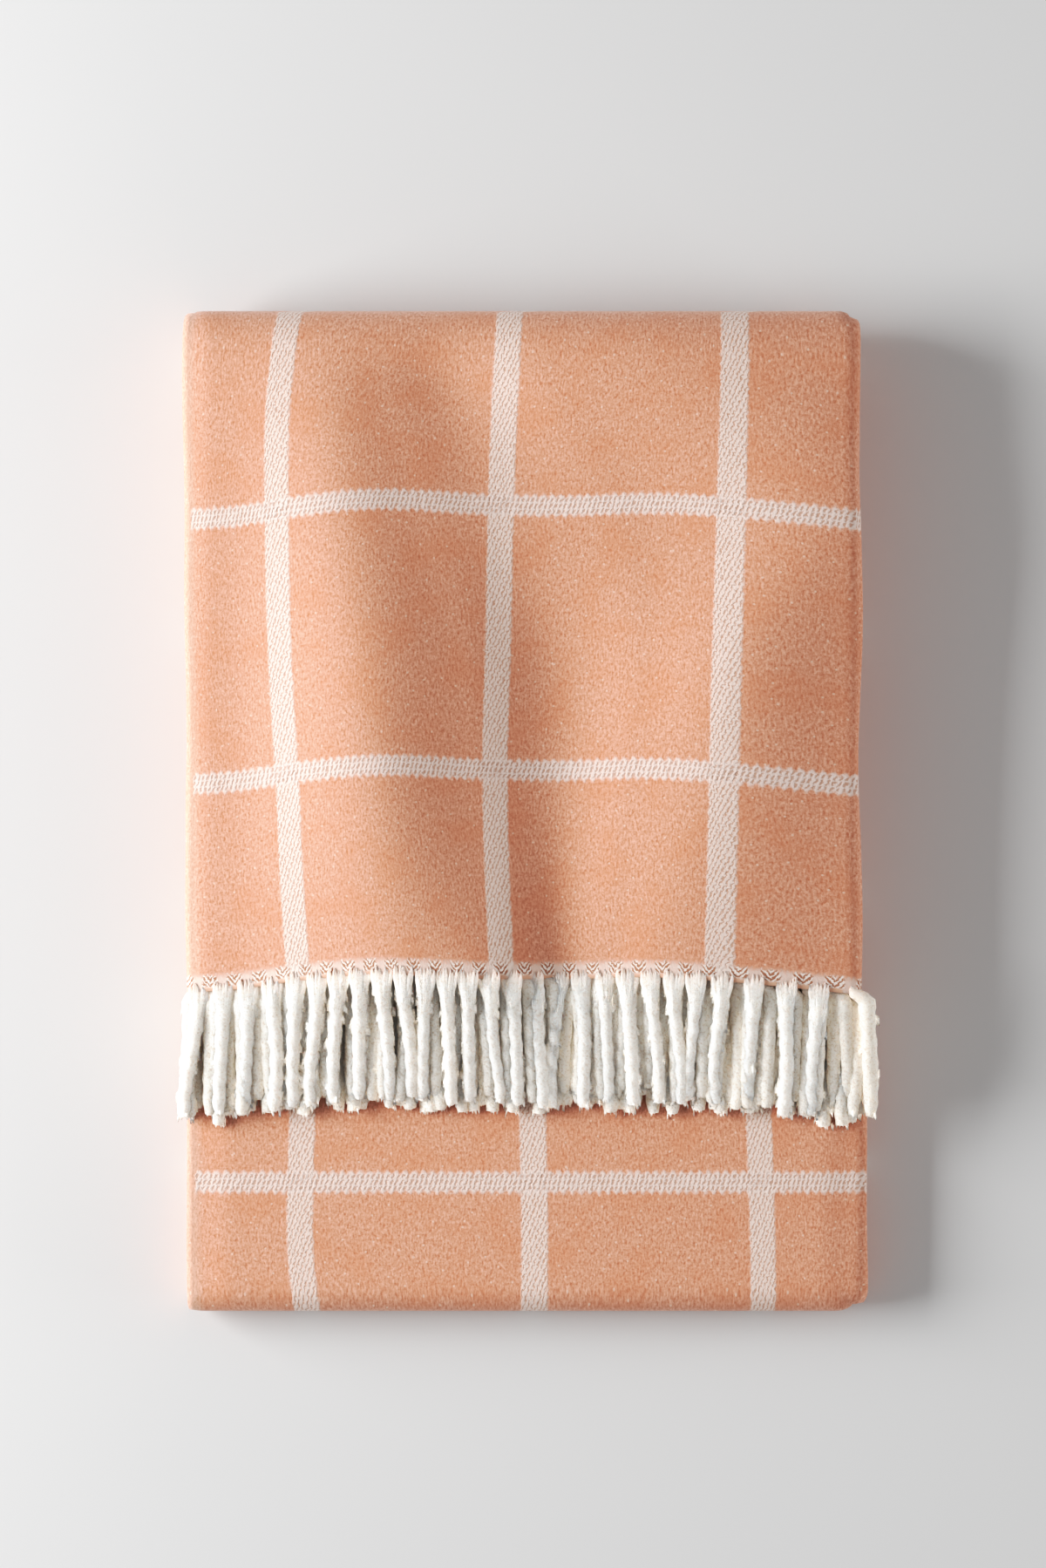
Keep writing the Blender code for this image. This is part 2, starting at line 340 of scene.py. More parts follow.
def shape_surface(points, mid_y, ply):
    """Gives the flap its waves and sag, less for the plies further down, and lets the flap's
    selvedge and the bare part's sides drop."""
    x, y, z = points[..., 0], points[..., 1], points[..., 2]
    in_flap = z > CREASE.z
    bare = (~in_flap) & (z > STRIP)
    lifted = np.clip((z - CREASE.z) / (2 * STRIP), 0, 1)
    free = np.clip((lifted - LOWEST_PLY) / (1 - LOWEST_PLY), 0, 1) ** WAVE_FADE
    waves = np.array([flap_relief(line, middle) for line, middle in zip(x, mid_y[:, 0])])
    rolled = smooth((-x - WIDTH / 2 + RIM_REACH) / RIM_REACH) * (ply < FRONT_PLY) * RIM_DROP
    sunk = (smooth((np.abs(x) - WIDTH / 2 + SIDE_REACH) / SIDE_REACH) * SIDE_DROP
            * np.clip((z - STRIP) / STRIP, 0, 1))
    sag = (through(FLAP_SAG, x / MM) * MM * smooth((TOP_Y - y) / SAG_START)
           * smooth(lifted / SAG_PLY))
    points[..., 1] += np.where(in_flap, sag, 0)
    points[..., 2] += np.where(in_flap, waves * free - rolled, 0)
    points[..., 2] -= np.where(bare, sunk, 0)


def round_corners(points):
    for side_x, side_y, radius in CORNERS:
        flap_x = FLAP_RIGHT_X if side_x > 0 else SIDE_X
        edge_x = side_x * np.where(points[..., 2] > CREASE.z, flap_x, SIDE_X)
        edge_y = TOP_Y if side_y > 0 else BOTTOM_Y
        dx = (points[..., 0] - edge_x) * side_x + radius
        dy = (points[..., 1] - edge_y) * side_y + radius
        reach = np.hypot(dx, dy)
        corner = (dx > 0) & (dy > 0) & (reach > SMALLEST_REACH)
        share = np.where(corner, np.maximum(dx, dy) / np.maximum(reach, SMALLEST_REACH), 1.0)
        points[..., 0] = np.where(corner, edge_x + side_x * (dx * share - radius), points[..., 0])
        points[..., 1] = np.where(corner, edge_y + side_y * (dy * share - radius), points[..., 1])


def fold_cloth():
    """The sheet's middle surface, folded: its points as an array of rows down the strip by
    columns across the cloth, the place of each point in the flat cloth, and the cloth's length."""
    down, cloth_length = strip_stations()
    across, cloth_reach = width_stations()
    u_scale = CLOTH_WIDTH / cloth_reach
    length, mid_y, mid_z, face_y, face_z = (down[:, i:i + 1] for i in range(5))
    u, x, depth, ply = (across[:, i][None, :] for i in range(4))
    inward = STRIP / 2 - depth
    shape = (len(down), len(across))
    points = np.empty(shape + (3,))
    points[..., 0] = np.broadcast_to(x, shape)
    points[..., 1] = mid_y + face_y * inward
    points[..., 2] = mid_z + face_z * inward
    flat_u = np.broadcast_to(u * u_scale, shape).copy()
    flat_v = np.broadcast_to(length, shape).copy()
    drift_stripes(flat_u, down, across, u_scale)
    shift_strips(points, down, across)
    shape_surface(points, mid_y, ply)
    round_corners(points)
    flat_v += FLAP_TAKE_UP * np.minimum(flat_v, TOP_BEND.y - HEM_Y)
    return points, flat_u, flat_v, cloth_length


def make_cloth(material, points, flat_u, flat_v):
    rows, columns = flat_u.shape
    grid = np.arange(rows * columns).reshape(rows, columns)
    quads = np.stack([grid[:-1, :-1], grid[:-1, 1:], grid[1:, 1:], grid[1:, :-1]], axis=-1)
    mesh = bpy.data.meshes.new("brushed_wool_cloth")
    mesh.from_pydata(points.reshape(-1, 3).tolist(), [], quads.reshape(-1, 4).tolist())
    uv = mesh.uv_layers.new(name="ClothFlat")
    corners = np.empty(len(mesh.loops), int)
    mesh.loops.foreach_get("vertex_index", corners)
    flat = np.stack([flat_u.ravel(), flat_v.ravel()], axis=-1)[corners]
    uv.data.foreach_set("uv", flat.ravel().astype(np.float32))
    mesh.materials.append(material)
    mesh.shade_smooth()
    cloth = bpy.data.objects.new("brushed_wool_cloth", mesh)
    bpy.context.scene.collection.objects.link(cloth)
    solid = cloth.modifiers.new("Thickness", "SOLIDIFY")
    solid.thickness = CLOTH_THICKNESS
    solid.offset = 0.0
    solid.use_even_offset = False
    finish_mesh(cloth)
    return cloth


def finish_mesh(obj):
    """Turns what an object shows into its plain mesh."""
    bpy.context.view_layer.update()
    shown = obj.evaluated_get(bpy.context.evaluated_depsgraph_get())
    mesh = bpy.data.meshes.new_from_object(shown)
    obj.modifiers.clear()
    obj.data = mesh


# ------------------------------------------------------------------ materials

class Shading:
    """A new material, with short names for the nodes that materials repeat."""

    def __init__(self, name):
        self.material = bpy.data.materials.new(name)
        self.material.use_nodes = True
        self.tree = self.material.node_tree
        self.tree.nodes.clear()

    def add(self, kind, settings=None, inputs=None):
        return add(self.tree, kind, settings, inputs)

    def math(self, operation, *values):
        return self.add("ShaderNodeMath", {"operation": operation}, dict(enumerate(values))).outputs[0]

    def multiply(self, a, b):
        return self.math("MULTIPLY", a, b)

    def vector(self, operation, inputs):
        return self.add("ShaderNodeVectorMath", {"operation": operation}, inputs).outputs["Vector"]

    def fold(self, value, period):
        """The distance to the nearest whole period."""
        return self.math("ABSOLUTE", self.math("WRAP", value, period / 2, -period / 2))

    def ramp(self, value, low, high, soft=True):
        """From 0 at low to 1 at high, where low may be the larger."""
        kind = {"interpolation_type": "SMOOTHSTEP" if soft else "LINEAR"}
        return self.add("ShaderNodeMapRange", kind,
                        {"Value": value, "From Min": low, "From Max": high}).outputs["Result"]

    def mix(self, factor, a, b):
        """Colour a turns into colour b with the factor. A colour is a socket, or sRGB hex."""
        node = self.add("ShaderNodeMix", {"data_type": "RGBA"}, {"Factor": factor})
        for socket, value in (("A", a), ("B", b)):
            target = [s for s in node.inputs if s.name == socket and s.type == "RGBA"][0]
            if isinstance(value, bpy.types.NodeSocket):
                self.tree.links.new(value, target)
            else:
                target.default_value = linear(value)
        return [s for s in node.outputs if s.type == "RGBA"][0]

    def finish(self, settings, inputs):
        """Adds the surface shader and the output, and gives the material."""
        shader = self.add("ShaderNodeBsdfPrincipled", settings, inputs)
        self.add("ShaderNodeOutputMaterial", {}, {0: shader.outputs[0]})
        return self.material


PEACH_DARK = "#C07E62"
PEACH_LIGHT = "#F1BAA4"
PEACH_DEEP = "#D58B6C"
LINT_COLOR = "#FBE3D2"
# Painted highlight: a pale tint along both selvedges, which lie at the cloth's left edge where the light
# falls.
SELVEDGE_HIGHLIGHT = "#F8E0CC"
WARP_WHITE = "#EFDAD0"
WARP_SHADE = "#E3C3B2"
WARP_TICK = "#BE8468"
WEFT_WHITE = "#EFDBD2"
WEFT_TICK = "#B98A74"
HEM_HAZE = "#F3E1D7"
HEM_BROWN = "#A46B4D"
HEM_WHITE = "#FBEFE7"
HEM_LOOP = "#E2AD8E"
ROOT_PEACH = "#F0CDB9"

# The check's pattern, in mm. A pair is a distance where a colour sets in, and where it is full.
LENGTHWISE_EDGE = (6.9, 5.5)            # from the stripe's middle line
CROSSWISE_EDGE = (5.9, 3.4)
CROSSWISE_END = (3.6, 5.2)              # from the selvedge, where the crosswise stripes stop
# Where the painted highlight along the selvedges sets in, and where it is full:
SELVEDGE_HIGHLIGHT_EDGE = (9.0, 3.5)
TOOTH_PITCH = 4.2
TOOTH_DEPTH = 0.8
WARP_TICK_SIZE = (2.1, 2.9)             # pitch of the weave's slanted ticks: across, and along
WARP_TICK_LEAN = -0.4
WEFT_TICK_SIZE = (2.3, 3.2)
WEFT_TICK_LEAN = -0.45
WEFT_TICK_STEP = 0.6                    # each row of ticks starts this far along
WEFT_TICK_EDGE = (4.4, 3.4)
STRAY = 2.4                             # how far the brushed yarns stray from the pattern
HATCH_PITCH = 2.7
HATCH_SLOPE = 1.3
RAGGED_HEM = 7.0                        # how unevenly the hem's patches end


def lengthwise_stripes(shade, u, v):
    """The stripes along the cloth, and the ticks of weft that cross them."""
    spacing = STRIPE_ACROSS / MM
    from_line = shade.fold(shade.math("SUBTRACT", u, spacing / 2), spacing)
    stripes = shade.ramp(from_line, *LENGTHWISE_EDGE)
    width, length = WARP_TICK_SIZE
    lean = shade.math("MULTIPLY_ADD", v, WARP_TICK_LEAN, u)
    row = shade.math("FLOOR", shade.math("DIVIDE", lean, width))
    shifted_v = shade.math("MULTIPLY_ADD", row, length / 2, v)
    ticks = shade.multiply(shade.ramp(shade.fold(lean, width), 0.75, 0.2),
                           shade.ramp(shade.fold(shifted_v, length), 1.2, 0.6))
    return stripes, ticks


def crosswise_stripes(shade, u, v, from_selvedge):
    """The stripes across the cloth, with toothed edges, and their rows of slanted dashes."""
    spacing = STRIPE_ALONG / MM
    place = shade.math("SUBTRACT", v, FIRST_CROSS_STRIPE / MM)
    from_line = shade.math("WRAP", place, spacing / 2, -spacing / 2)
    distance = shade.math("ABSOLUTE", from_line)
    tooth = shade.math("COSINE", shade.multiply(u, math.tau / TOOTH_PITCH))
    tooth = shade.multiply(tooth, shade.math("SIGN", from_line))
    edge = shade.math("MULTIPLY_ADD", tooth, TOOTH_DEPTH, distance)
    stripes = shade.multiply(shade.ramp(edge, *CROSSWISE_EDGE),
                             shade.ramp(from_selvedge, *CROSSWISE_END))
    width, length = WEFT_TICK_SIZE
    lean = shade.math("MULTIPLY_ADD", from_line, WEFT_TICK_LEAN, u)
    row = shade.math("FLOOR", shade.math("DIVIDE", shade.math("ADD", from_line, length / 2), length))
    shifted_u = shade.math("MULTIPLY_ADD", row, WEFT_TICK_STEP, lean)
    ticks = shade.multiply(shade.ramp(shade.fold(shifted_u, width), 0.85, 0.2),
                           shade.ramp(shade.fold(from_line, length), 1.75, 0.9))
    return stripes, shade.multiply(ticks, shade.ramp(distance, *WEFT_TICK_EDGE))


def nap(shade, place):
    """The brushed nap: soft specks about a millimetre across, drawn out along a steep twill."""
    def texture(where, settings):
        return shade.add("ShaderNodeTexNoise", {"noise_dimensions": "2D"},
                         {"Vector": where, **settings}).outputs[0]

    napped = texture(place, {"Scale": 0.8, "Detail": 3.0, "Roughness": 0.8})
    turned = shade.add("ShaderNodeMapping", {}, {"Vector": place, "Rotation": (0, 0, math.radians(-24)),
                                                 "Scale": (1.5, 0.55, 1)}).outputs[0]
    twill = texture(turned, {"Scale": 0.7, "Detail": 2.0})
    specks = shade.math("MULTIPLY_ADD", twill, 0.4, shade.multiply(napped, 0.6))
    broad = texture(place, {"Scale": 0.045, "Detail": 3.0})
    lint = shade.add("ShaderNodeTexVoronoi", {"voronoi_dimensions": "2D"},
                     {"Vector": place, "Scale": 0.09}).outputs["Distance"]
    peach = shade.mix(shade.ramp(specks, 0.33, 0.67, soft=False), PEACH_DARK, PEACH_LIGHT)
    peach = shade.mix(shade.multiply(shade.ramp(broad, 0.42, 0.7), 0.3), peach, PEACH_DEEP)
    peach = shade.mix(shade.multiply(shade.ramp(lint, 0.06, 0.03), 0.45), peach, LINT_COLOR)
    return specks, peach


def hem(shade, color, specks, u, v, cloth_end):
    """White warp gathers into each tassel, and between two of them the last picks make a small
    hatched patch of brown and white over a peach loop."""
    pitch = TASSEL_PITCH / MM
    up = shade.math("MINIMUM", v, shade.math("SUBTRACT", cloth_end, v))
    from_tassel = shade.fold(shade.math("SUBTRACT", u, pitch / 2), pitch)
    ragged = shade.math("MULTIPLY_ADD", specks, RAGGED_HEM, shade.math("ADD", up, -RAGGED_HEM / 2))
    chevron = shade.math("MULTIPLY_ADD", from_tassel, HATCH_SLOPE, up)
    chevron = shade.math("SINE", shade.multiply(chevron, math.tau / HATCH_PITCH))
    hatch = shade.mix(shade.ramp(chevron, -0.3, 0.5), HEM_BROWN, HEM_WHITE)
    haze = shade.multiply(shade.ramp(ragged, 9.5, 5.5), 0.7)
    patch = shade.multiply(shade.ramp(up, 1.8, 2.8), shade.ramp(ragged, 8.6, 6.6))
    patch = shade.multiply(patch, shade.ramp(from_tassel, 1.8, 2.8))
    loop = shade.multiply(shade.ramp(up, 2.4, 1.4), shade.ramp(from_tassel, 2.0, 3.4))
    color = shade.mix(haze, color, HEM_HAZE)
    color = shade.mix(shade.multiply(patch, 0.85), color, hatch)
    return shade.mix(shade.multiply(loop, 0.7), color, HEM_LOOP)


def brushed_wool(cloth_end):
    """Brushed woven wool: a peach weft hides the white warp, and the white shows where the check's
    stripes let it up. The nap breaks the colour into soft specks and the light into a dull sheen.
    The pattern is drawn in mm on the flat cloth, which ends at cloth_end."""
    shade = Shading("brushed_woven_wool")
    flat = shade.add("ShaderNodeUVMap", {"uv_map": "ClothFlat"}).outputs["UV"]
    place = shade.vector("SCALE", {0: flat, "Scale": 1 / MM})
    stray = shade.add("ShaderNodeTexNoise", {"noise_dimensions": "2D"},
                      {"Vector": place, "Scale": 0.5, "Detail": 3.0, "Roughness": 0.7})
    stray = shade.vector("SUBTRACT", {0: stray.outputs["Color"], 1: (0.5, 0.5, 0.5)})
    yarn = shade.vector("ADD", {0: place, 1: shade.vector("SCALE", {0: stray, "Scale": STRAY})})
    yarn = shade.add("ShaderNodeSeparateXYZ", {}, {0: yarn}).outputs
    u, v = yarn["X"], yarn["Y"]

    from_selvedge = shade.math("MINIMUM", u, shade.math("SUBTRACT", CLOTH_WIDTH / MM, u))
    lengthwise, warp_ticks = lengthwise_stripes(shade, u, v)
    crosswise, weft_ticks = crosswise_stripes(shade, u, v, from_selvedge)
    specks, peach = nap(shade, place)
    warp_white = shade.mix(shade.multiply(warp_ticks, 0.8), WARP_WHITE, WARP_TICK)
    warp_white = shade.mix(shade.multiply(shade.ramp(specks, 0.4, 0.6), 0.25), warp_white, WARP_SHADE)
    weft_white = shade.mix(shade.multiply(weft_ticks, 0.75), WEFT_WHITE, WEFT_TICK)
    # Painted highlight: the cloth pales towards both selvedges, which lie at the lit left edge, for the
    # light that the rolled edge catches.
    selvedge_highlight = shade.multiply(shade.ramp(from_selvedge, *SELVEDGE_HIGHLIGHT_EDGE), 0.22)
    color = shade.mix(selvedge_highlight, peach, SELVEDGE_HIGHLIGHT)
    color = shade.mix(lengthwise, color, warp_white)
    color = shade.mix(shade.multiply(crosswise, 0.97), color, weft_white)
    color = hem(shade, color, specks, u, v, cloth_end)

    raised = shade.multiply(shade.math("MAXIMUM", crosswise, lengthwise), 0.25)
    height = shade.math("MULTIPLY_ADD", specks, 0.5, raised)
    ticks = shade.math("ADD", shade.multiply(lengthwise, warp_ticks),
                       shade.multiply(crosswise, weft_ticks))
    height = shade.math("SUBTRACT", height, shade.multiply(ticks, 0.3))
    bumped = shade.add("ShaderNodeBump", {}, {"Strength": 0.6, "Distance": 0.8 * MM, "Height": height})
    return shade.finish({}, {"Base Color": color, "Roughness": 0.95, "Normal": bumped.outputs[0],
                             "Sheen Weight": 0.25, "Sheen Roughness": 0.5, "Specular IOR Level": 0.2})


def white_yarn(name, dull, bright):
    """Soft twisted wool: off-white and matt, with fibres that run around with the twist, and a
    trace of the cloth's peach at each root."""
    shade = Shading(name)
    place = shade.add("ShaderNodeTexCoord").outputs["Object"]
    mottled = shade.add("ShaderNodeTexNoise", {}, {"Vector": place, "Scale": 750.0, "Detail": 3.0,
                                                   "Roughness": 0.7}).outputs[0]
    twisted = shade.add("ShaderNodeAttribute", {"attribute_name": "fibre"}).outputs["Vector"]
    twisted = shade.add("ShaderNodeMapping", {}, {"Vector": twisted, "Scale": (16, 90, 1)}).outputs[0]
    fibre = shade.add("ShaderNodeTexNoise", {}, {"Vector": twisted, "Scale": 1.0, "Detail": 3.0,
                                                 "Roughness": 0.6}).outputs[0]
    mixed = shade.math("MULTIPLY_ADD", fibre, 0.25, shade.multiply(mottled, 0.75))
    tone = shade.add("ShaderNodeValToRGB", {}, {"Fac": mixed})
    for stop, color, position in zip(tone.color_ramp.elements, (dull, bright), (0.36, 0.5)):
        stop.color = linear(color)
        stop.position = position
    from_root = shade.add("ShaderNodeAttribute", {"attribute_name": "from_root"}).outputs["Fac"]
    at_root = shade.multiply(shade.ramp(from_root, 6 * MM, -7 * MM), 0.6)
    color = shade.mix(at_root, tone.outputs[0], ROOT_PEACH)
    bumped = shade.add("ShaderNodeBump", {}, {"Strength": 0.9, "Distance": 1.4 * MM, "Height": mixed})
    return shade.finish({"subsurface_method": "BURLEY"},
                        {"Base Color": color, "Roughness": 0.95, "Normal": bumped.outputs[0],
                         "Sheen Weight": 0.3, "Sheen Roughness": 0.5, "Specular IOR Level": 0.15,
                         "Subsurface Weight": 0.9, "Subsurface Radius": (1.0, 0.82, 0.66),
                         "Subsurface Scale": 6.5 * MM})


# ------------------------------------------------------------------ the fringe

LINE_LAYERS = ("wide", "high", "turn", "from_root")


def line_mesh(name, lines):
    """Polylines from lists of (place, width, height, turn, way from the root)."""
    bm = bmesh.new()
    layers = [bm.verts.layers.float.new(layer) for layer in LINE_LAYERS]
    for line in lines:
        last = None
        for place, *values in line:
            vertex = bm.verts.new(place)
            for layer, value in zip(layers, values):
                vertex[layer] = value
            if last:
                bm.edges.new((last, vertex))
            last = vertex
    mesh = bpy.data.meshes.new(name)
    bm.to_mesh(mesh)
    bm.free()
    obj = bpy.data.objects.new(name, mesh)
    bpy.context.scene.collection.objects.link(obj)
    return obj


TASSEL_RADIUS = 3.2 * MM
TWIST_LENGTH = 20 * MM                  # of the two-ply twist
LOBE_DEPTH = 0.3 * MM
LUMP_DEPTH = 0.5 * MM
# A tassel's width and height, as shares of its round part: mm from the hem, and share.
ROOT_WIDTH = ((-3, 0.3), (1, 0.85), (5, 1.22), (11, 1.12), (18, 1.03), (26, 1.0), (70, 1.0))
ROOT_HEIGHT = ((-3, 0.25), (1, 0.42), (6, 0.72), (12, 0.96), (20, 1.0), (70, 1.0))
BACK_ROOT_HEIGHT = ((-3, 0.6), (0, 0.85), (5, 1.0), (12, 1.0), (20, 1.0), (70, 1.0))
# The front row of tassels, and the rows behind it: the range of a tassel's length, as shares of
# TASSEL_LENGTH, its lean, the way it takes to settle, and how thick it and its root are; then how
# finely it is drawn, how many hairs stand off it, and how many strands fray out of its end.
FRONT_ROW = {"length": (0.87, 0.93), "lean": 2.8 * MM, "settle": 20 * MM, "thickness": (0.9, 1.1),
             "root": ROOT_HEIGHT, "sides": 16, "steps": 52, "hairs": 150, "tips": 9}
BACK_ROWS = {"length": (0.78, 0.92), "lean": 1.4 * MM, "settle": 9 * MM, "thickness": (1.0, 1.2),
             "root": BACK_ROOT_HEIGHT, "sides": 10, "steps": 24, "hairs": 16, "tips": 5}
ROOT_START = 3 * MM                     # a tassel starts this far inside the hem
LINE_STEPS = 24
SWAY = 0.9 * MM
SLIP = 0.8 * MM                         # how unevenly the rows behind lie in the gaps
LEFT_SPLAY = 0.35                       # the outermost tassels splay less at the left
SPLAY_SLOPE = 26 * MM
SPLAY_START = 0.88                      # from this share of the half width outwards
EDGE_MARGIN = 5 * MM                    # at the sides, tassels have no gap to lie in
FIRST_LEVEL = 3.1 * MM                  # height of the lowest tassels over the crease
LAYER_RISE = 2.75 * MM
FRONT_RISE = 1.3 * MM
BACK_RISE = 1.8 * MM                    # of the rows that show between the front ones
WAVE_SHARE = 0.58                       # how much of the flap's waves the fringe follows
GAP_SHIFT = 0.2                         # how far the rows behind lie off a gap's middle, in pitches
ROOT_ENDS = 7                           # warp ends drawn for each root


def tassel_line(root, level, rng, kind, gap):
    """The middle line of one tassel: it starts in the hem, and settles on the ones below, into
    the gap (in tassel pitches) between two of them. The front row doesn't lie in gaps."""
    front = kind is FRONT_ROW
    length = TASSEL_LENGTH * rng.uniform(*kind["length"])
    lean = rng.gauss(0, kind["lean"])
    sway = rng.gauss(0, SWAY)
    phase = rng.uniform(0, math.tau)
    turning = rng.uniform(0, math.tau)
    outward = max(0.0, abs(root.x) / (WIDTH / 2) - SPLAY_START)
    splay = math.copysign(outward * SPLAY_SLOPE, root.x) * (1.0 if root.x > 0 else LEFT_SPLAY)
    gap = gap if abs(root.x) < WIDTH / 2 - EDGE_MARGIN else 0.0
    slip = rng.gauss(0, SLIP)
    shift = 0 if front else gap * TASSEL_PITCH + slip
    thickness = rng.uniform(*kind["thickness"])
    line = []
    for i in range(LINE_STEPS + 1):
        t = i / LINE_STEPS
        along = -ROOT_START + (length + ROOT_START) * t
        settle = float(smooth(along / kind["settle"]))
        slack = (level - CREASE.z) * (1 - 0.78 * t ** 1.4)
        x = root.x + (lean + splay) * float(smooth(t * 1.1)) + sway * math.sin(5.5 * t + phase) * t
        x += shift * float(smooth((along + 2 * MM) / (6 * MM)))
        z = root.z + (CREASE.z + slack - root.z) * settle
        size = thickness * (1 - 0.25 * float(smooth((t - 0.94) / 0.06)))
        wide = size * float(through(ROOT_WIDTH, along / MM))
        high = size * float(through(kind["root"], along / MM))
        line.append(((x, root.y - along, z), wide, high, turning, along))
    return line


def root_strands(root, line, rng):
    """The warp ends that come up through the hem and gather into one tassel."""
    strands = []
    core = [Vector(point[0]) for point in line]
    travel = [point[4] for point in line]
    inset = 0.62                        # how deep the strands lie in the tassel, as a share of it
    on_cloth = root.z + CLOTH_THICKNESS / 2 + 0.1 * MM
    middle_end = (ROOT_ENDS - 1) / 2
    for k in range(ROOT_ENDS):
        side = (k - middle_end) / middle_end
        start = rng.uniform(-5.0, -2.5) * MM
        at_hem = root.x + side * 4.4 * MM + rng.gauss(0, 0.4) * MM
        thick = rng.uniform(0.28, 0.4)
        strand = []
        for i in range(10):
            along = start + (rng.uniform(15, 17) * MM - start) * i / 9
            middle = [float(np.interp(along, travel, [c[axis] for c in core])) for axis in range(3)]
            gather = float(smooth((along + 3 * MM) / (15 * MM)))
            x = at_hem + (middle[0] + side * inset * TASSEL_RADIUS - at_hem) * gather
            over = middle[2] + TASSEL_RADIUS * inset * math.sqrt(1 - 0.8 * side * side)
            z = on_cloth + (over - on_cloth) * gather
            taper = min(1.0, (i + 0.4) / 2.5) * (1 - 0.5 * max(0.0, (i - 6) / 3))
            strand.append(((x, root.y - along, z), thick * taper * 1.15, thick * taper, 0.0, along))
        strands.append(strand)
    return strands


def loose_fibres(lines, rng, kind):
    """Short hairs that stand off the tassels, and the strands that fray out of their ends. Their
    thicknesses are shares of a tassel's."""
    hairs = []
    for line in lines:
        for _ in range(kind["hairs"]):
            place, wide, high, turn, along = line[rng.randrange(4, len(line))]
            angle = rng.choice((-0.35, math.pi + 0.35)) + rng.gauss(0, 0.3)
            side = Vector((math.cos(angle), 0, math.sin(angle)))
            start = Vector(place) + Vector((side.x * wide, 0, side.z * high)) * TASSEL_RADIUS * 0.93
            start.y += rng.uniform(-1.5, 1.5) * MM
            reach = rng.uniform(0.5, 1.2) * MM
            drift = Vector((rng.gauss(0, 0.5), rng.gauss(-0.9, 0.7), rng.gauss(0, 0.3))) * reach
            hairs.append([(start, 0.028, 0.028, turn, along),
                          (start + side * reach * 0.5 + drift * 0.5, 0.024, 0.024, turn, along),
                          (start + side * reach * 0.7 + drift * 1.2, 0.016, 0.016, turn, along)])
        end = Vector(line[-1][0])
        for _ in range(kind["tips"]):
            out = Vector((rng.gauss(0, 0.45), 0, rng.gauss(0, 0.45))) * TASSEL_RADIUS
            reach = rng.uniform(0.4, 2.0) * MM
            hairs.append([(end + out + Vector((0, 1.5 * MM, 0)), 0.22, 0.22, 0, 0.06),
                          (end + out * 1.1 - Vector((0, reach * 0.5, 0)), 0.18, 0.18, 0, 0.06),
                          (end + out * 1.25 - Vector((0, reach, 0)), 0.05, 0.05, 0, 0.06)])
    return hairs


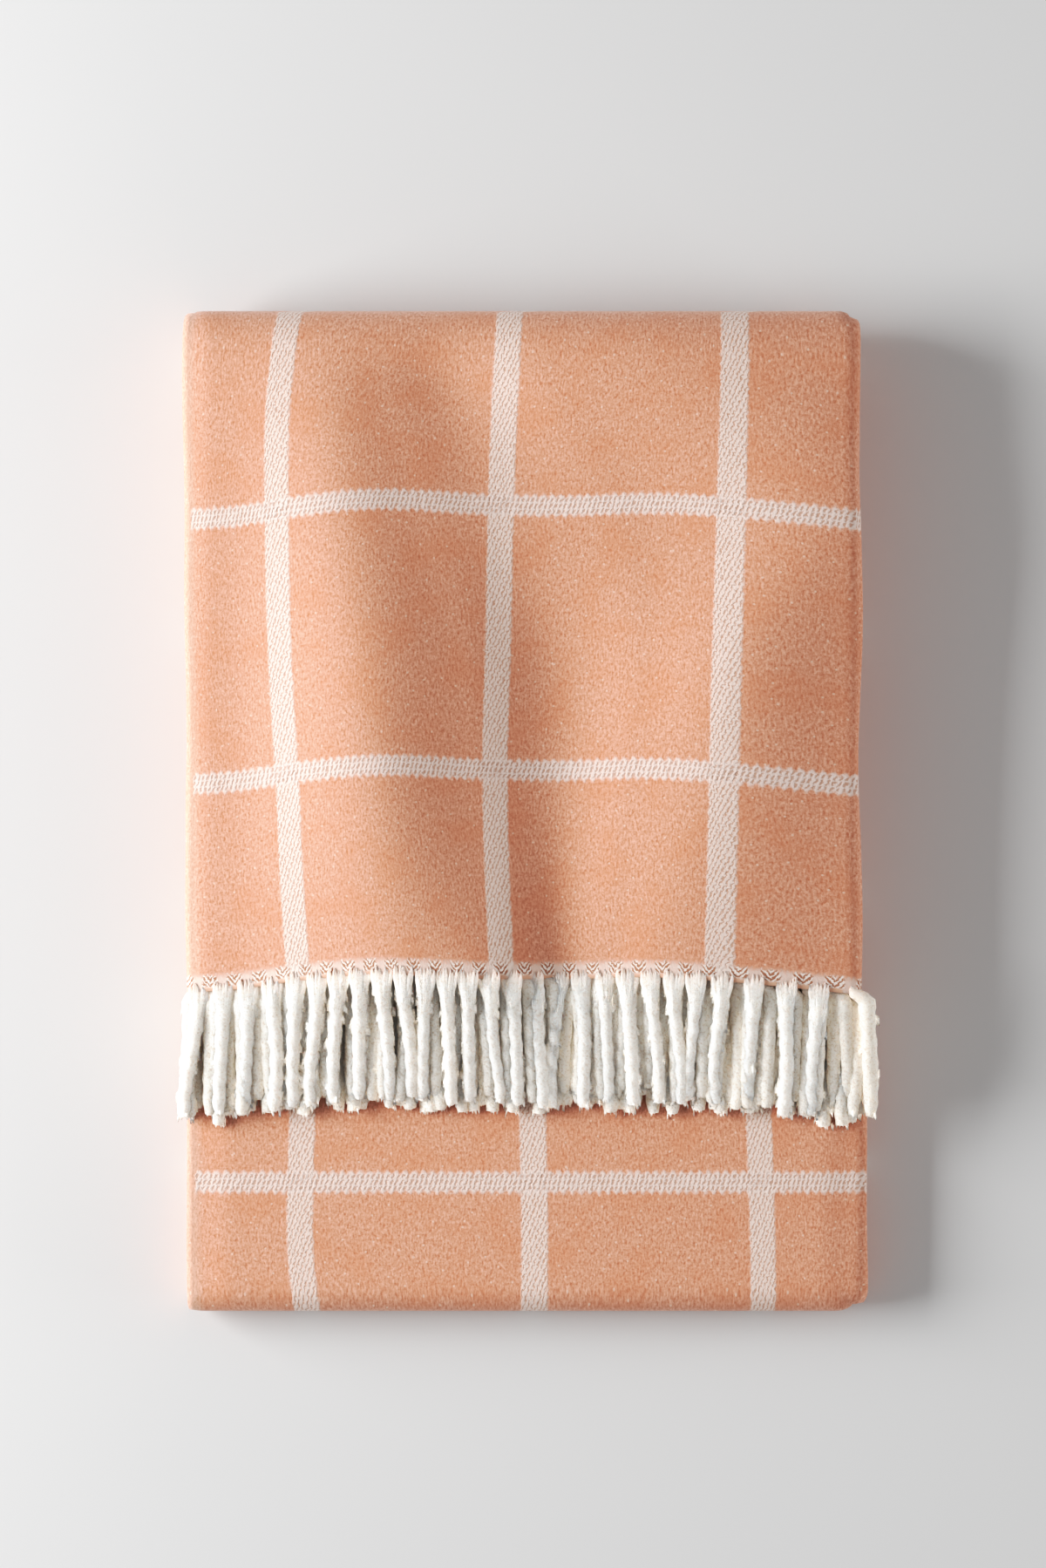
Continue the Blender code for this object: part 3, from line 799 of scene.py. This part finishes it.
def tassel_tree(material):
    """Geometry nodes: each polyline becomes a soft two-ply twisted tassel, a round tube that is
    scaled at each place by the line's width and height, the twist's lobes and soft lumps."""
    tree = bpy.data.node_groups.new("twisted_tassel", "GeometryNodeTree")
    face = tree.interface
    face.new_socket("Geometry", in_out="INPUT", socket_type="NodeSocketGeometry")
    for name, value in (("Radius", TASSEL_RADIUS), ("Twist Length", TWIST_LENGTH),
                        ("Lobe Depth", LOBE_DEPTH), ("Lump Depth", LUMP_DEPTH)):
        socket = face.new_socket(name, in_out="INPUT", socket_type="NodeSocketFloat")
        socket.default_value = value
    for name, value in (("Sides", 12), ("Steps", 44)):
        socket = face.new_socket(name, in_out="INPUT", socket_type="NodeSocketInt")
        socket.default_value = value
    face.new_socket("Geometry", in_out="OUTPUT", socket_type="NodeSocketGeometry")
    given = add(tree, "NodeGroupInput").outputs

    def named(attribute):
        return add(tree, "GeometryNodeInputNamedAttribute", {"data_type": "FLOAT"},
                   {"Name": attribute}).outputs["Attribute"]

    def calc(operation, a, b=None):
        values = {0: a} if b is None else {0: a, 1: b}
        return add(tree, "ShaderNodeMath", {"operation": operation}, values).outputs[0]

    lines = add(tree, "GeometryNodeMeshToCurve", {}, {"Mesh": given["Geometry"]}).outputs[0]
    lines = add(tree, "GeometryNodeResampleCurve", {},
                {"Curve": lines, "Count": given["Steps"]}).outputs[0]
    middle = add(tree, "GeometryNodeCaptureAttribute", {}, {"Geometry": lines})
    middle.capture_items.new("VECTOR", "Middle")
    tree.links.new(add(tree, "GeometryNodeInputPosition").outputs[0], middle.inputs["Middle"])
    ring = add(tree, "GeometryNodeCurvePrimitiveCircle", {},
               {"Resolution": given["Sides"], "Radius": given["Radius"]}).outputs[0]
    around = add(tree, "GeometryNodeCaptureAttribute", {}, {"Geometry": ring})
    around.capture_items.new("FLOAT", "Around")
    tree.links.new(add(tree, "GeometryNodeSplineParameter").outputs["Factor"],
                   around.inputs["Around"])
    tube = add(tree, "GeometryNodeCurveToMesh", {},
               {"Curve": middle.outputs["Geometry"], "Profile Curve": around.outputs["Geometry"],
                "Fill Caps": True}).outputs[0]
    position = add(tree, "GeometryNodeInputPosition").outputs[0]
    offset = add(tree, "ShaderNodeVectorMath", {"operation": "SUBTRACT"},
                 {0: position, 1: middle.outputs["Middle"]}).outputs[0]
    turns = calc("DIVIDE", named("from_root"), given["Twist Length"])
    angle = calc("ADD", calc("MULTIPLY", calc("ADD", around.outputs["Around"], turns), 2 * math.tau),
                 named("turn"))
    lobe = calc("MULTIPLY", calc("SINE", angle), given["Lobe Depth"])
    lumps = add(tree, "ShaderNodeTexNoise", {}, {"Vector": position, "Scale": 380.0,
                                                 "Detail": 2.0}).outputs[0]
    lump = calc("MULTIPLY", calc("SUBTRACT", lumps, 0.5), given["Lump Depth"])
    grown = calc("ADD", calc("DIVIDE", calc("ADD", lobe, lump), given["Radius"]), 1.0)
    size = add(tree, "ShaderNodeCombineXYZ", {}, {"X": calc("MULTIPLY", named("wide"), grown),
                                                  "Y": grown,
                                                  "Z": calc("MULTIPLY", named("high"), grown)})
    offset = add(tree, "ShaderNodeVectorMath", {"operation": "MULTIPLY"},
                 {0: offset, 1: size.outputs[0]}).outputs[0]
    moved = add(tree, "ShaderNodeVectorMath", {"operation": "ADD"},
                {0: middle.outputs["Middle"], 1: offset}).outputs[0]
    shaped = add(tree, "GeometryNodeSetPosition", {}, {"Geometry": tube, "Position": moved})
    woven = add(tree, "ShaderNodeCombineXYZ", {},
                {"X": calc("ADD", around.outputs["Around"], turns), "Y": named("from_root"),
                 "Z": named("turn")}).outputs[0]
    stored = add(tree, "GeometryNodeStoreNamedAttribute",
                 {"data_type": "FLOAT_VECTOR", "domain": "POINT"},
                 {"Geometry": shaped.outputs[0], "Name": "fibre", "Value": woven})
    smoothed = add(tree, "GeometryNodeSetShadeSmooth", {}, {"Geometry": stored.outputs[0]})
    real = add(tree, "GeometryNodeRealizeInstances", {}, {"Geometry": smoothed.outputs[0]})
    painted = add(tree, "GeometryNodeSetMaterial", {},
                  {"Geometry": real.outputs[0], "Material": material})
    add(tree, "NodeGroupOutput", {}, {0: painted.outputs[0]})
    return tree


def grow(obj, tree, **sizes):
    modifier = obj.modifiers.new(tree.name, "NODES")
    modifier.node_group = tree
    sockets = {item.name: item.identifier for item in tree.interface.items_tree
               if item.in_out == "INPUT"}
    for name, value in sizes.items():
        modifier[sockets[name.replace("_", " ")]] = value
    finish_mesh(obj)
    return obj


def join(obj, other):
    with bpy.context.temp_override(active_object=obj, selected_editable_objects=[obj, other]):
        bpy.ops.object.join()


def draw_tassels(name, lines, strands, rng, kind, tree):
    """One object with a row's tassels, their hairs and, in the front row, the strands of the roots."""
    tassels = grow(line_mesh(name, lines), tree, Sides=kind["sides"], Steps=kind["steps"])
    hairs = line_mesh(name + "_hairs", loose_fibres(lines, rng, kind))
    join(tassels, grow(hairs, tree, Sides=3, Steps=3, Lobe_Depth=0.0, Lump_Depth=0.0))
    if strands:
        roots = line_mesh(name + "_roots", strands)
        join(tassels, grow(roots, tree, Sides=7, Steps=10, Lobe_Depth=0.0, Lump_Depth=0.6 * MM))
    return tassels


def make_fringe(front_yarn, shaded_back_yarn, points, flat_u):
    """The tassels of both ends, in three objects: the front row, the rest of the upper end's, and
    the lower end's. The layers count from the lowest tassels, 0, to the front row, 7."""
    across, _ = width_stations()
    rng = random.Random(11)
    groups = {"front_tassels": [], "upper_end_tassels": [], "lower_end_tassels": []}
    strands = []
    for end, row in (("upper", 0), ("lower", -1)):
        for index in range(4 * FRONT_TASSELS):
            at = (index + 0.5) * TASSEL_PITCH
            ply = float(np.interp(at, flat_u[row], across[:, 3]))
            root = Vector([float(np.interp(at, flat_u[row], points[row, :, k])) for k in range(3)])
            front = end == "upper" and ply < FRONT_PLY
            layer = 7 - ply if end == "upper" else ply
            near_front = layer > 4.5
            waves = float(flap_relief(np.array([root.x]), root.y)[0])
            level = CREASE.z + FIRST_LEVEL + layer * LAYER_RISE + waves * WAVE_SHARE * layer / 7
            level += FRONT_RISE if front else BACK_RISE * near_front
            from_front = (root.x + WIDTH / 2) / TASSEL_PITCH % 1.0
            gap = -from_front + (0.0 if from_front < 0.5 else 1.0)
            gap += GAP_SHIFT if layer > 5.5 else -GAP_SHIFT
            if not near_front:
                gap = rng.uniform(-0.5, 0.5)
            name = "front_tassels" if front else f"{end}_end_tassels"
            kind = FRONT_ROW if front else BACK_ROWS
            groups[name].append(tassel_line(root, level, rng, kind, gap))
            if front:
                strands += root_strands(root, groups[name][-1], rng)
    front_tree = tassel_tree(front_yarn)
    # The rows behind are drawn in the yarn with painted shade.
    back_tree = tassel_tree(shaded_back_yarn)
    return [draw_tassels("front_tassels", groups["front_tassels"], strands, rng, FRONT_ROW, front_tree),
            draw_tassels("upper_end_tassels", groups["upper_end_tassels"], [], rng, BACK_ROWS, back_tree),
            draw_tassels("lower_end_tassels", groups["lower_end_tassels"], [], rng, BACK_ROWS, back_tree)]


# ------------------------------------------------------------------ floor, light, camera

FLOOR_GREY = "#DDDDDD"


def plain_floor():
    mesh = bpy.data.meshes.new("floor")
    bm = bmesh.new()
    bmesh.ops.create_grid(bm, x_segments=1, y_segments=1, size=6)
    bm.to_mesh(mesh)
    bm.free()
    floor = bpy.data.objects.new("floor", mesh)
    bpy.context.scene.collection.objects.link(floor)
    material = bpy.data.materials.new("pale_painted_board")
    material.use_nodes = True
    shader = material.node_tree.nodes["Principled BSDF"]
    shader.inputs["Base Color"].default_value = linear(FLOOR_GREY)
    shader.inputs["Roughness"].default_value = 0.8
    mesh.materials.append(material)


def area_light(name, place, size, watts):
    """A white rectangle of light that faces the origin."""
    data = bpy.data.lights.new(name, "AREA")
    data.shape = "RECTANGLE"
    data.size, data.size_y = size
    data.energy = watts
    light = bpy.data.objects.new(name, data)
    bpy.context.scene.collection.objects.link(light)
    light.location = place
    light.rotation_euler = (-Vector(place)).to_track_quat("-Z", "Y").to_euler()


# A film-like curve on linear values: firm in the darker half, with a soft shoulder.
TONE_CURVE = ((0.06, 0.032), (0.13, 0.085), (0.25, 0.225), (0.35, 0.355), (0.5, 0.51), (0.8, 0.76),
              (1.1, 0.955))
WHITE_LEVEL = 1.4
ROOM_LIGHT = 0.31


def studio():
    area_light("window_light", (-1.75, 0.15, 0.72), (1.3, 1.0), 70)
    area_light("fill_card", (1.9, -0.2, 0.36), (1.5, 0.5), 15)
    world = bpy.data.worlds.new("studio")
    bpy.context.scene.world = world
    world.use_nodes = True
    background = world.node_tree.nodes["Background"]
    background.inputs["Color"].default_value = (1, 1, 1, 1)
    background.inputs["Strength"].default_value = ROOM_LIGHT
    view = bpy.context.scene.view_settings
    view.view_transform = "Standard"
    view.use_curve_mapping = True
    view.curve_mapping.clip_max_x = WHITE_LEVEL
    tone = view.curve_mapping.curves[3]     # the curve for all three colours together
    tone.points[1].location = (WHITE_LEVEL, 1.0)
    for x, y in TONE_CURVE:
        tone.points.new(x, y)
    view.curve_mapping.update()


def overhead_camera():
    seen_width = 503.3 * MM             # what the picture takes in, level with the flap
    seen_height = seen_width * 1799 / 1200
    distance = 2.45
    data = bpy.data.cameras.new("overhead")
    data.sensor_fit = "VERTICAL"
    data.sensor_height = 36
    data.lens = data.sensor_height * distance / seen_height
    camera = bpy.data.objects.new("overhead", data)
    bpy.context.scene.collection.objects.link(camera)
    camera.location = (-0.8 * MM, 13.8 * MM, distance + 4 * STRIP)
    bpy.context.scene.camera = camera


# ------------------------------------------------------------------ the whole scene

points, flat_u, flat_v, cloth_length = fold_cloth()
wool = brushed_wool(cloth_length / MM)
# Painted shade: the rows behind take a darker, warmer copy of the same white yarn. It stands in for their
# shade and for the peach light that the cloth bounces onto them.
front_yarn = white_yarn("twisted_white_wool", "#EDE2D6", "#FFFDF8")
shaded_back_yarn = white_yarn("shaded_white_wool", "#E8D8C5", "#FFF9EF")
cloth = make_cloth(wool, points, flat_u, flat_v)
fringe = make_fringe(front_yarn, shaded_back_yarn, points, flat_u)

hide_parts("stack_cloth", "flap_under_cloth", "flap_top_cloth", "top_hem_edge")
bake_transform(cloth)
front, upper, lower = fringe
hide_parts(*[node for node in frame["nodes"] if node.startswith("tassel_")])
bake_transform(front)
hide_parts("fringe_row_5", "fringe_row_6", "fringe_row_7")
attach(upper, "flap")
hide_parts("fringe_row_1", "fringe_row_2", "fringe_row_3", "fringe_row_4")
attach(lower, "flap")

plain_floor()
studio()
overhead_camera()
